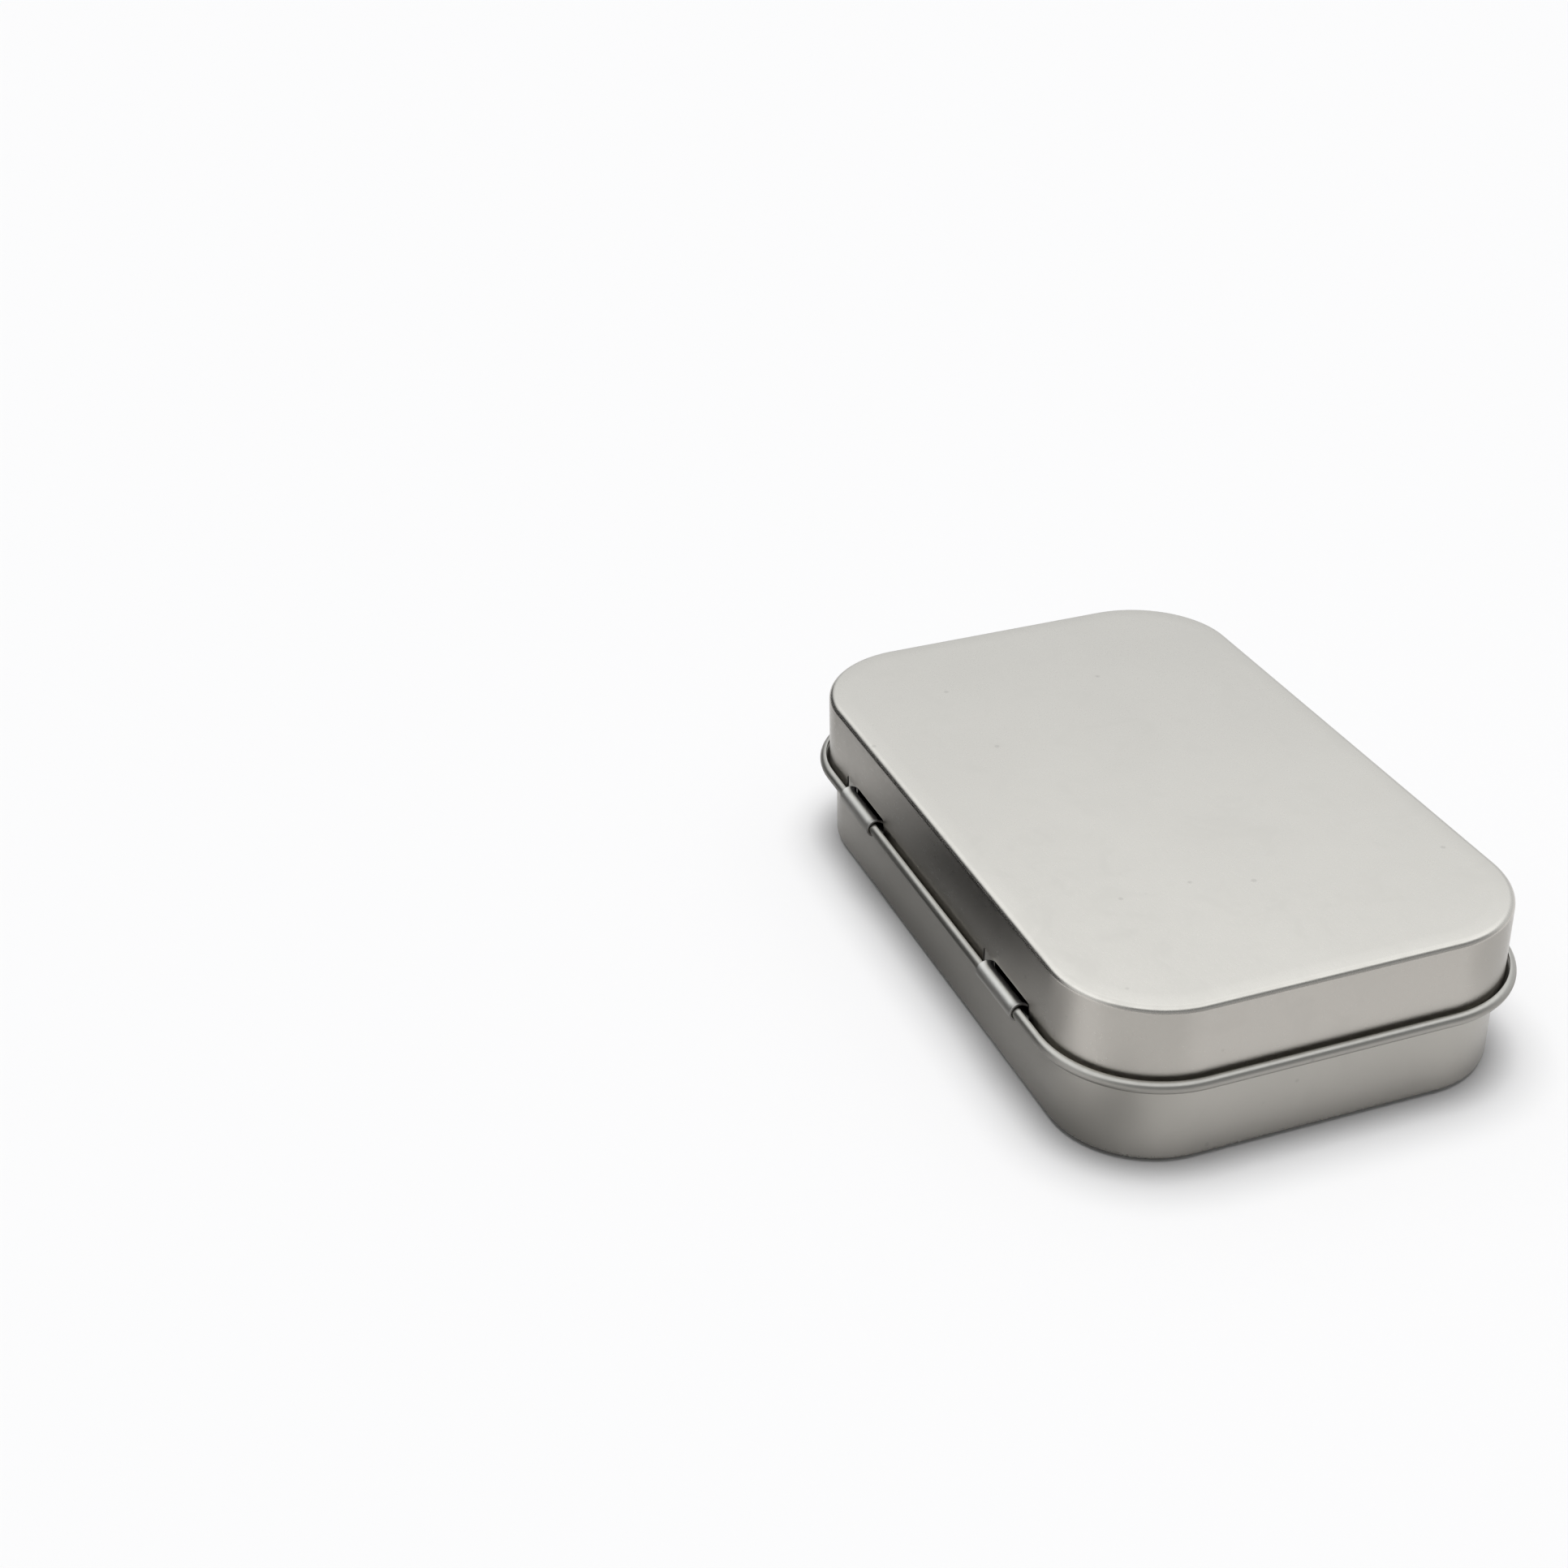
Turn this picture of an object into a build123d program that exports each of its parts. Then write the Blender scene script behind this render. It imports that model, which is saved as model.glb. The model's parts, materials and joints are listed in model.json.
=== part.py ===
from build123d import *
from math import acos, cos, degrees, pi, radians, sin, sqrt
import os

# A hinged pocket tin pressed from two blanks of tinplate.
# The base is a drawn tray with a folded rim and two tabs lanced from its back wall.
# The lid is a drawn cover whose skirt ends in an outward curl, the bead.
# The tabs are rolled round the bead, which is the hinge pin.
# X runs along the hinge, Y from the front to the hinge, Z up from the table.
# All sizes are in millimetres and the tin is modelled closed.

# Tinplate
sheet = 0.25

# Lid, measured on the outside of the pressing
lid_length = 92.3
lid_width = 59.1
corner_radius = 13.5
tin_height = 22.1
lid_depth = 11.0
lid_inner_edge_radius = 0.6

# Curl along the lower edge of the lid skirt
bead_diameter = 1.6
curl_mouth = 0.5

# Base. Its rim stands above the hinge axis by the rim rise.
base_inner_edge_radius = 0.85
rim_rise = 8.0
rim_slip = 0.14
hem_leg = 1.4
hem_gap = 0.3

# Hinge tabs, the windows they are lanced from, and the slots that clear them
tab_width = 9.6
tab_bend_radius = 0.3
tab_kerf = 0.3
window_land = 2.7
hinge_clearance = 0.08
slot_length = 12.8
slot_rise = 2.1
slot_corner_radius = 0.4
slot_to_corner = 4.05

# How far a cutting solid runs past what it cuts
overrun = 1.0

# Lid, worked out
bead_radius = bead_diameter / 2
bead_z = tin_height - lid_depth + bead_radius
bead_offset = bead_radius - sheet
hinge_y = lid_width / 2 + bead_offset
lid_edge_radius = lid_inner_edge_radius + sheet
curl_end_angle = degrees(acos((curl_mouth - bead_offset) / bead_radius))

# Base, worked out. Its wall stands inside the skirt by as much as the front of the
# skirt swings inward while it lifts over the rim, and by a slip gap.
rim_z = bead_z + rim_rise
swing_reach = hinge_y + lid_width / 2 - sheet
swing_in = swing_reach - sqrt(swing_reach**2 - rim_rise**2)
wall_gap = swing_in + rim_slip
wall_inset = sheet + wall_gap
base_length = lid_length - 2 * wall_inset
base_width = lid_width - 2 * wall_inset
base_corner_radius = corner_radius - wall_inset
base_edge_radius = base_inner_edge_radius + sheet
hem_radius = sheet + hem_gap / 2
wall_top_z = rim_z - hem_radius
base_wall_y = base_width / 2

# Tabs, windows and slots, worked out. A window ends one land below the rim fold,
# and the metal lanced out of it makes the tab, so it sets how far the tab wraps.
tab_inner_radius = bead_radius + hinge_clearance
tab_outer_radius = tab_inner_radius + sheet
tab_under_z = bead_z - tab_outer_radius
tab_root_z = tab_under_z - tab_bend_radius
tab_bend_y = base_wall_y + tab_bend_radius
tab_run = hinge_y - tab_bend_y
tab_mid_bend = tab_bend_radius + sheet / 2
tab_mid_radius = tab_inner_radius + sheet / 2
window_width = tab_width + 2 * tab_kerf
window_height = wall_top_z - window_land - tab_root_z
tab_blank = window_height - tab_kerf
tab_wrap = (tab_blank - tab_mid_bend * pi / 2 - tab_run) / tab_mid_radius
tab_wrap_angle = degrees(tab_wrap)
tab_x = lid_length / 2 - corner_radius - slot_to_corner - slot_length / 2

# The tabs stand out a little further than the bead, so the tin is moved forward by
# half of that to keep the origin under the middle of the whole.
seat = Pos(0, (bead_radius - tab_outer_radius) / 2, 0)


def rounded_block(length, width, radius, low, high):
    """A block with round corners in plan, from one height to another."""
    outline = RectangleRounded(length, width, radius)
    return Pos(0, 0, low) * extrude(outline, amount=high - low)


def ring(section, length, width, radius):
    """A section carried once round a rounded rectangle.

    In the section, x is the distance out from the outline and y is the height.
    """
    half_x = length / 2 - radius
    half_y = width / 2 - radius
    parts = []
    for side, (corner_x, corner_y) in enumerate(((1, 1), (-1, 1), (-1, -1), (1, -1))):
        turn = radians(90 * side)
        out = Vector(cos(turn), sin(turn), 0)
        back = Vector(sin(turn), -cos(turn), 0)
        centre = Vector(corner_x * half_x, corner_y * half_y, 0)
        start = Plane(origin=centre + out * radius, x_dir=out, z_dir=back)
        axis = Axis(centre, Vector(0, 0, 1))
        parts.append(revolve(start * section, axis=axis, revolution_arc=90))
        run = 2 * (half_y if side % 2 == 0 else half_x)
        parts.append(extrude(start * section, amount=run))
    whole = parts[0]
    for piece in parts[1:]:
        whole = whole + piece
    return whole


def curl_section():
    """The open curl of the bead, from the foot of the skirt round to its own end."""
    centre = Vector(bead_offset, bead_z)
    sweep_angle = 180 + curl_end_angle
    outer = CenterArc(centre, bead_radius, 180, sweep_angle)
    inner = CenterArc(centre, bead_radius - sheet, 180, sweep_angle)
    edges = [outer, Line(outer @ 1, inner @ 1), inner, Line(inner @ 0, outer @ 0)]
    return make_face(edges)


def hem_section():
    """The rim of the base, turned over inward and left standing off the wall."""
    centre = Vector(-hem_radius, wall_top_z)
    outer = CenterArc(centre, hem_radius, 0, 180)
    inner = CenterArc(centre, hem_radius - sheet, 0, 180)
    drop = Vector(0, -hem_leg)
    edges = [
        outer,
        Line(outer @ 1, outer @ 1 + drop),
        Line(outer @ 1 + drop, inner @ 1 + drop),
        Line(inner @ 1 + drop, inner @ 1),
        inner,
        Line(inner @ 0, outer @ 0),
    ]
    return make_face(edges)


def tab_section():
    """A tab seen along the hinge: bent out under the bead, then rolled over it."""
    axis = Vector(hinge_y, bead_z)
    bend = Vector(tab_bend_y, tab_root_z)
    under_bend = CenterArc(bend, tab_bend_radius, 180, -90)
    over_bend = CenterArc(bend, tab_bend_radius + sheet, 180, -90)
    outer = CenterArc(axis, tab_outer_radius, -90, tab_wrap_angle)
    inner = CenterArc(axis, tab_inner_radius, -90, tab_wrap_angle)
    edges = [
        under_bend,
        Line(under_bend @ 1, outer @ 0),
        outer,
        Line(outer @ 1, inner @ 1),
        inner,
        Line(inner @ 0, over_bend @ 1),
        over_bend,
        Line(over_bend @ 0, under_bend @ 0),
    ]
    return make_face(edges)


def make_lid_cover():
    """Flat panel and skirt of the lid, with the two hinge slots in the back."""
    outer = rounded_block(lid_length, lid_width, corner_radius, bead_z, tin_height)
    outer = fillet(outer.edges().group_by(Axis.Z)[-1], lid_edge_radius)
    inner_length = lid_length - 2 * sheet
    inner_width = lid_width - 2 * sheet
    inner_radius = corner_radius - sheet
    ceiling = tin_height - sheet
    inner = rounded_block(inner_length, inner_width, inner_radius, bead_z, ceiling)
    inner = fillet(inner.edges().group_by(Axis.Z)[-1], lid_inner_edge_radius)
    cover = outer - inner
    for side in (-1, 1):
        cover = cover - slot_cutter(side * tab_x)
    return cover


def slot_cutter(middle_x):
    """What one hinge slot takes out of the back of the skirt."""
    depth = sheet + 2 * overrun
    block = Box(slot_length, depth, slot_rise, align=(Align.CENTER, Align.CENTER, Align.MIN))
    top_ends = block.edges().filter_by(Axis.Y).group_by(Axis.Z)[-1]
    block = fillet(top_ends, slot_corner_radius)
    return Pos(middle_x, (lid_width - sheet) / 2, bead_z) * block


def make_lid_bead():
    """The rolled lower edge of the lid. Along the back it is the hinge pin."""
    return ring(curl_section(), lid_length, lid_width, corner_radius)


def make_base_tray():
    """Floor and wall of the base, with the two windows that the tabs came from."""
    outer = rounded_block(base_length, base_width, base_corner_radius, 0, wall_top_z)
    outer = fillet(outer.edges().group_by(Axis.Z)[0], base_edge_radius)
    inner_length = base_length - 2 * sheet
    inner_width = base_width - 2 * sheet
    inner_radius = base_corner_radius - sheet
    inner = rounded_block(inner_length, inner_width, inner_radius, sheet, wall_top_z)
    inner = fillet(inner.edges().group_by(Axis.Z)[0], base_inner_edge_radius)
    tray = outer - inner
    for side in (-1, 1):
        tray = tray - window_cutter(side * tab_x)
    return tray


def window_cutter(middle_x):
    """What lancing one tab takes out of the back wall."""
    depth = sheet + 2 * overrun
    align = (Align.CENTER, Align.CENTER, Align.MIN)
    block = Box(window_width, depth, window_height, align=align)
    return Pos(middle_x, base_wall_y - sheet / 2, tab_root_z) * block


def make_base_rim_hem():
    """The folded rim of the base."""
    return ring(hem_section(), base_length, base_width, base_corner_radius)


def make_hinge_tab(middle_x):
    """One hinge tab, wrapped round the bead with a running clearance."""
    start = Plane(origin=(middle_x - tab_width / 2, 0, 0), x_dir=(0, 1, 0), z_dir=(1, 0, 0))
    return extrude(start * tab_section(), amount=tab_width)


nodes = {
    "base_tray": make_base_tray(),
    "base_rim_hem": make_base_rim_hem(),
    "hinge_tab_left": make_hinge_tab(-tab_x),
    "hinge_tab_right": make_hinge_tab(tab_x),
    "lid_cover": make_lid_cover(),
    "lid_bead": make_lid_bead(),
}

os.makedirs("parts", exist_ok=True)
for name, shape in nodes.items():
    export_step(seat * shape, "parts/" + name + ".step")
print("hinge axis y", hinge_y + seat.position.Y, "z", bead_z)
print("wall gap", wall_gap, "rim", rim_z, "tab wraps", tab_wrap_angle, "degrees")
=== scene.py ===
import json
from math import acos, atan2, pi, radians

import bmesh
import bpy
from bpy.props import FloatProperty, FloatVectorProperty, IntProperty, PointerProperty
from mathutils import Matrix, Vector


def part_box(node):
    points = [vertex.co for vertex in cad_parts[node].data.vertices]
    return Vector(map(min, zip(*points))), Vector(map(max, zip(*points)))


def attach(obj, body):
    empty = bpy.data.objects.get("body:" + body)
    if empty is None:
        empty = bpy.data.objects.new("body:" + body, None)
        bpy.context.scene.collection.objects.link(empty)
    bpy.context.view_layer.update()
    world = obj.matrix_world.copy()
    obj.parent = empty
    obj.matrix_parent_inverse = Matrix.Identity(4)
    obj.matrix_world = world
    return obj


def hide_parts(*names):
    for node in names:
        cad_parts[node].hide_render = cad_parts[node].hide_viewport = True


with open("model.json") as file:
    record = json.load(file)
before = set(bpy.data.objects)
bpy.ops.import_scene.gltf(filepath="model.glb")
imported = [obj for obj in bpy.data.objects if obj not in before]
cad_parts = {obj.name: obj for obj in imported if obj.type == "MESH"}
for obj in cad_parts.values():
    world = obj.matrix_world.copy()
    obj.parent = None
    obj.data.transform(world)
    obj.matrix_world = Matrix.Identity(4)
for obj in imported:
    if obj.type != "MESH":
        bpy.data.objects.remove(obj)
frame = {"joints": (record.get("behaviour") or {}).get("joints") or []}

bl_info = {
    "name": "Hinged Pocket Tin",
    "version": (1, 0, 0),
    "blender": (4, 5, 0),
    "location": "3D View > Sidebar > Tin",
    "description": "Dresses a pressed tinplate pocket tin and lights it",
    "category": "Object",
}

MM = 0.001
UP = Vector((0, 0, 1))
ALONG_HINGE = Vector((1, 0, 0))

# What the solids say, in metres
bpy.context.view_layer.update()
COVER_LOW, COVER_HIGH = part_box("lid_cover")
BEAD_LOW, BEAD_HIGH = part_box("lid_bead")
TRAY_LOW, TRAY_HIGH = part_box("base_tray")
HEM_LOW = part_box("base_rim_hem")[0]
TAB_NODES = ("hinge_tab_left", "hinge_tab_right")
HINGE = Vector(frame["joints"][0]["pos_m"])

# How closely points and faces are told apart
SAME_PLACE = 0.001 * MM
SAME_CUT = 0.0001 * MM
SAME_SPLIT = 0.002 * MM
NEARLY_STRAIGHT = radians(1)
SHARP_EDGE = radians(40)
STRAIGHT_ON = 0.999

# Faces round the small rounds
CUT_EDGE_STEPS = 2
SLOT_CORNER_STEPS = 6

# How the marks are drawn. Patterns are stretched along X, Y and Z, the patches of the brightened band
# (rubbed wear and painted highlight) are counted to a metre, a fleck is so many grains deep, and the
# spread is what the grain does to the roughness.
ROLLING_STRETCH = (0.2, 1.0, 1.0)
STREAK_SHARE = 0.6
SMUDGE_FINENESS = 2.3
RUB_AND_HIGHLIGHT_PATCHES = 420.0
DRAWING_STRETCH = (1.0, 1.0, 0.04)
FLECK_DEPTH = 2.0
GLOSS_SPREAD = 0.03

# Where the bands of the tent and of the room light start and where they are full. The numbers are
# the upward part of a direction, from 0 at the table to 1 overhead.
MIDDLE_BAND = (0.0, 0.42)
HIGH_BAND = (0.42, 0.6)
TOP_BAND = (0.78, 0.9)
ROOM_BAND = (0.15, 1.0)

# The open side of the tent: how far it turns to the camera, how high it reaches, and its own shade
OPEN_TURN = (0.1, 0.6)
OPEN_TOP = (0.6, 0.82)
OPEN_SHADE = (0.22, 0.42)

# The dark part of the tent behind the hinge: its direction, how closely, and how high it reaches
BEHIND_X = 0.85
BEHIND_Y = 0.52
BEHIND_TURN = (0.70, 0.90)
BEHIND_TOP = (0.26, 0.50)

# The sockets of a Mix node by their place in it: its factor, then those for values and for colours
MIX_FACTOR = 0
VALUE_LOW, VALUE_HIGH, VALUE_OUT = 2, 3, 0
COLOUR_LOW, COLOUR_HIGH, COLOUR_OUT = 6, 7, 2

# Camera and floor
SENSOR_WIDTH = 36.0
CLOSEST_SEEN = 0.01
FLOOR_ROUGHNESS = 0.9
WHITE = (1, 1, 1, 1)


class TinSizes(bpy.types.PropertyGroup):
    """Sizes of the pressing that the solids' boxes don't give."""

    sheet: FloatProperty(
        name="Sheet",
        description="Thickness of the tinplate",
        default=0.25 * MM,
        unit="LENGTH",
    )
    corner_radius: FloatProperty(
        name="Corner radius",
        description="Outer corner of the lid in plan",
        default=13.5 * MM,
        unit="LENGTH",
    )
    lid_edge_radius: FloatProperty(
        name="Lid edge",
        description="Round between the lid's panel and skirt",
        default=0.85 * MM,
        unit="LENGTH",
    )
    base_edge_radius: FloatProperty(
        name="Base edge",
        description="Round between the base's floor and wall",
        default=1.1 * MM,
        unit="LENGTH",
    )
    panel_margin: FloatProperty(
        name="Panel margin",
        description="Flat kept round the edge of a panel",
        default=3.0 * MM,
        unit="LENGTH",
    )
    curl_mouth: FloatProperty(
        name="Curl mouth",
        description="Gap between the end of the curl and the skirt",
        default=0.5 * MM,
        unit="LENGTH",
    )
    slot_length: FloatProperty(
        name="Slot length",
        description="Hinge slot along the skirt",
        default=12.8 * MM,
        unit="LENGTH",
    )
    slot_rise: FloatProperty(
        name="Slot rise",
        description="Top of a hinge slot above the hinge axis",
        default=2.1 * MM,
        unit="LENGTH",
    )
    slot_corner_radius: FloatProperty(
        name="Slot corner",
        description="Round in a slot's upper corners",
        default=0.4 * MM,
        unit="LENGTH",
    )
    window_kerf: FloatProperty(
        name="Window kerf",
        description="What the lancing cut takes round a tab",
        default=0.3 * MM,
        unit="LENGTH",
    )
    window_land: FloatProperty(
        name="Window land",
        description="Wall between a window and the rim fold",
        default=2.7 * MM,
        unit="LENGTH",
    )
    hem_radius: FloatProperty(
        name="Rim fold",
        description="Outer radius of the folded rim",
        default=0.4 * MM,
        unit="LENGTH",
    )
    tab_bend_radius: FloatProperty(
        name="Tab bend",
        description="Inside of the bend at a tab's root",
        default=0.3 * MM,
        unit="LENGTH",
    )
    tab_flare: FloatProperty(
        name="Tab flare",
        description="How far a tab's end would stand open after half a turn",
        default=0.6 * MM,
        unit="LENGTH",
    )
    tab_flare_run: FloatProperty(
        name="Flare run",
        description="Length of a tab's open end",
        default=1.2 * MM,
        unit="LENGTH",
    )
    flare_steps: IntProperty(
        name="Flare steps",
        description="Faces along a tab's open end",
        default=6,
    )
    cut_edge: FloatProperty(
        name="Cut edge",
        description="Round on the sheet's cut edges",
        default=0.04 * MM,
        unit="LENGTH",
    )
    corner_steps: IntProperty(name="Corner steps", description="Faces round one corner", default=32)
    edge_steps: IntProperty(
        name="Edge steps",
        description="Faces round a quarter of an edge",
        default=10,
    )


class TinFinish(bpy.types.PropertyGroup):
    """Colours and gloss of the tinplate."""

    lid_colour: FloatVectorProperty(
        name="Lid",
        description="Satin tinplate of the lid",
        subtype="COLOR",
        size=3,
        default=(0.494, 0.471, 0.435),
    )
    # Painted shade: the same tinplate as the lid, set darker for the shaded floor that the base's walls
    # reflect
    base_colour: FloatVectorProperty(
        name="Base",
        description="Satin tinplate of the base",
        subtype="COLOR",
        size=3,
        default=(0.425, 0.409, 0.378),
    )
    # Painted shade: the same tinplate as the lid, set darker so that the overhead light on the bead's
    # round top comes out dimmer
    bead_colour: FloatVectorProperty(
        name="Bead",
        description="Rubbed tinplate of the bead",
        subtype="COLOR",
        size=3,
        default=(0.355, 0.342, 0.317),
    )
    tab_colour: FloatVectorProperty(
        name="Tabs",
        description="Rolled tinplate of the tabs",
        subtype="COLOR",
        size=3,
        default=(0.51, 0.497, 0.471),
    )
    cut_colour: FloatVectorProperty(
        name="Cut edges",
        description="Bare steel where the sheet is cut",
        subtype="COLOR",
        size=3,
        default=(0.4, 0.39, 0.375),
    )
    lid_roughness: FloatProperty(
        name="Lid roughness",
        description="Dullness of the lid",
        default=0.3,
    )
    base_roughness: FloatProperty(
        name="Base roughness",
        description="Dullness of the base",
        default=0.32,
    )
    bead_roughness: FloatProperty(
        name="Bead roughness",
        description="Dullness of the bead",
        default=0.38,
    )
    tab_roughness: FloatProperty(
        name="Tab roughness",
        description="Dullness of the tabs",
        default=0.4,
    )
    cut_roughness: FloatProperty(
        name="Cut roughness",
        description="Dullness of the cut edges",
        default=0.42,
    )
    grain_scale: FloatProperty(name="Grain", description="Grains to a metre", default=4200.0)
    grain_depth: FloatProperty(
        name="Grain depth",
        description="Height of the grain",
        default=0.0011 * MM,
        unit="LENGTH",
    )
    mottle_scale: FloatProperty(name="Mottle", description="Patches to a metre", default=55.0)
    mottle_shade: FloatProperty(
        name="Mottle shade",
        description="Tone of a dull patch",
        default=0.985,
    )
    smudge_shade: FloatProperty(name="Smudge shade", description="Tone of a smudge", default=0.985)
    smudge_dulling: FloatProperty(
        name="Smudge dulling",
        description="Roughness that a smudge adds",
        default=0.015,
    )
    fleck_scale: FloatProperty(name="Flecks", description="Fleck cells to a metre", default=150.0)
    fleck_size: FloatProperty(
        name="Fleck size",
        description="Radius of a fleck",
        default=0.5 * MM,
        unit="LENGTH",
    )
    fleck_shade: FloatProperty(name="Fleck shade", description="Tone of a fleck", default=0.86)
    # The brightened band: rubbed wear, and along the lid's rim and the bead's top a painted highlight
    rub_reach: FloatProperty(
        name="Rub and highlight reach",
        description="Half height of a rubbed edge",
        default=0.5 * MM,
        unit="LENGTH",
    )
    # How much the band brightens the colour: rubbed wear, and painted highlight on the lid's rim and the
    # bead's top
    rub_shade: FloatProperty(name="Rub and highlight shade", description="Tone of a rubbed edge", default=1.1)
    rub_polish: FloatProperty(
        name="Rub polish",
        description="Roughness that rubbing takes away",
        default=0.06,
    )
    drawing_scale: FloatProperty(
        name="Drawing marks",
        description="Upright streaks to a metre",
        default=900.0,
    )
    drawing_depth: FloatProperty(
        name="Drawing depth",
        description="Depth of the streaks in grains",
        default=0.8,
    )


class TinStage(bpy.types.PropertyGroup):
    """Floor, overhead light, tent, cards and camera."""

    floor_colour: FloatVectorProperty(
        name="Floor",
        description="Pale table",
        subtype="COLOR",
        size=3,
        default=(0.86, 0.86, 0.865),
    )
    floor_size: FloatProperty(
        name="Floor size",
        description="Side of the floor",
        default=6.0,
        unit="LENGTH",
    )
    floor_drop: FloatProperty(
        name="Floor drop",
        description="How far the floor lies below the tin",
        default=0.1 * MM,
        unit="LENGTH",
    )
    backdrop: FloatProperty(
        name="Backdrop",
        description="How white the room is behind the floor",
        default=0.98,
    )
    floor_lift: FloatProperty(
        name="Floor lift",
        description="White added to the floor for the camera and in the metal",
        default=0.025,
    )
    overhead_strength: FloatProperty(
        name="Overhead",
        description="Light that falls straight down, in watts to a square metre",
        default=2.75,
    )
    overhead_angle: FloatProperty(
        name="Overhead angle",
        description="How wide the overhead light looks from the table",
        default=radians(42),
        subtype="ANGLE",
    )
    overhead_lean: FloatProperty(
        name="Overhead lean",
        description="How far the overhead light leans from behind the tin to the camera",
        default=radians(2.5),
        subtype="ANGLE",
    )
    room_rim: FloatProperty(
        name="Room rim",
        description="Soft light from the height of the table",
        default=0.0,
    )
    room_top: FloatProperty(
        name="Room top",
        description="Soft light from straight above",
        default=0.36,
    )
    tent_colour: FloatVectorProperty(
        name="Tent",
        description="Cool white of the tent",
        subtype="COLOR",
        size=3,
        default=(0.95, 0.98, 1.0),
    )
    sky_low: FloatProperty(
        name="Low sky",
        description="Tent near the table, as the metal shows it",
        default=0.9,
    )
    sky_middle: FloatProperty(
        name="Middle sky",
        description="Tent at the height that the lid shows",
        default=0.96,
    )
    sky_high: FloatProperty(name="High sky", description="Tent higher up", default=1.74)
    sky_top: FloatProperty(name="Top sky", description="Tent overhead", default=1.55)
    dark_side: FloatProperty(
        name="Dark side",
        description="The tent's open side, by the camera",
        default=0.3,
    )
    dark_back: FloatProperty(
        name="Dark back",
        description="The tent low down behind the hinge, to the right",
        default=0.04,
    )
    dark_low: FloatProperty(
        name="Dark side, low",
        description="The same, near the table",
        default=0.5,
    )
    card_step: FloatProperty(
        name="Card step",
        description="Height from the floor to the first card and on to each next one",
        default=0.01 * MM,
        unit="LENGTH",
    )
    camera_place: FloatVectorProperty(
        name="Camera place",
        description="Where the camera stands",
        size=3,
        subtype="TRANSLATION",
        default=(-0.23246, 0.13121, 0.17574),
    )
    camera_aim: FloatVectorProperty(
        name="Camera aim",
        description="The way that the camera looks",
        size=3,
        subtype="DIRECTION",
        default=(0.81453, -0.28933, -0.50283),
    )
    camera_right: FloatVectorProperty(
        name="Camera right",
        description="The picture's right hand",
        size=3,
        subtype="DIRECTION",
        default=(-0.34510, -0.93837, -0.01909),
    )
    focal_length: FloatProperty(
        name="Focal length",
        description="In millimetres on a 36 mm sensor",
        default=55.07,
    )


class Plan:
    """A rounded rectangle in plan, for what runs once round the tin."""

    def __init__(self, low, high, radius):
        self.radius = radius
        self.centre = (low + high) / 2
        self.straight_x = (high.x - low.x) / 2 - radius
        self.straight_y = (high.y - low.y) / 2 - radius

    def corner(self, side):
        """Centre of one corner; the sides count round from the back right."""
        sign_x, sign_y = ((1, 1), (-1, 1), (-1, -1), (1, -1))[side]
        x = self.centre.x + sign_x * self.straight_x
        y = self.centre.y + sign_y * self.straight_y
        return Vector((x, y, 0))

    def start(self, out, height):
        """A point on the line that is carried round, out from the outline and above the table."""
        return self.corner(0) + Vector((self.radius + out, 0, height))


def pick(items, kind):
    """The items of one kind, such as the vertices among what an operator made."""
    return [item for item in items if isinstance(item, kind)]


class Pen:
    """Draws a line of edges, one stretch after another."""

    def __init__(self, bm, start):
        self.bm = bm
        self.tip = bm.verts.new(start)

    def line(self, end):
        step = bmesh.ops.extrude_vert_indiv(self.bm, verts=[self.tip])
        self.tip = step["verts"][0]
        self.tip.co = end

    def arc(self, centre, axis, angle, steps):
        turn = bmesh.ops.spin(
            self.bm, geom=[self.tip], cent=centre, axis=axis, angle=angle, steps=steps,
            use_duplicate=False,
        )
        self.tip = pick(turn["geom_last"], bmesh.types.BMVert)[0]


def carry_round(bm, plan, steps):
    """Carries the drawn line once round the plan, which leaves a closed band."""
    loop = list(bm.verts) + list(bm.edges)
    for side in range(4):
        turn = bmesh.ops.spin(
            bm, geom=loop, cent=plan.corner(side), axis=UP, angle=pi / 2, steps=steps,
            use_duplicate=False,
        )
        edges = pick(turn["geom_last"], bmesh.types.BMEdge)
        run = bmesh.ops.extrude_edge_only(bm, edges=edges)["geom"]
        loop = pick(run, (bmesh.types.BMVert, bmesh.types.BMEdge))
        ahead = plan.corner((side + 1) % 4) - plan.corner(side)
        bmesh.ops.translate(bm, verts=pick(loop, bmesh.types.BMVert), vec=ahead)
    bmesh.ops.remove_doubles(bm, verts=bm.verts, dist=SAME_PLACE)


def close_panel(bm, height):
    """Fills the flat panel inside the band at one height."""
    rim = [
        edge for edge in bm.edges
        if edge.is_boundary and all(abs(vert.co.z - height) < SAME_PLACE for vert in edge.verts)
    ]
    bmesh.ops.edgeloop_fill(bm, edges=rim)


def face_out(bm, is_out):
    """Turns all the faces so that the largest one points the way that is_out gives for it."""
    bmesh.ops.recalc_face_normals(bm, faces=bm.faces)
    face = max(bm.faces, key=lambda item: item.calc_area())
    if face.normal.dot(is_out(face.calc_center_median())) < 0:
        bmesh.ops.reverse_faces(bm, faces=bm.faces)


def off_hinge(centre):
    """Up for what lies above the hinge axis, and down for what lies below it."""
    return UP * (centre.z - HINGE.z)


def thicken(bm, sheet):
    """Gives the skin the sheet's thickness, inward; cut edges take the second material."""
    skin = set(bm.faces)
    rims = [edge for edge in bm.edges if edge.is_boundary]
    bmesh.ops.solidify(bm, geom=bm.faces[:], thickness=sheet)
    for edge in rims:
        for face in edge.link_faces:
            if face not in skin:
                face.material_index = 1


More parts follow.
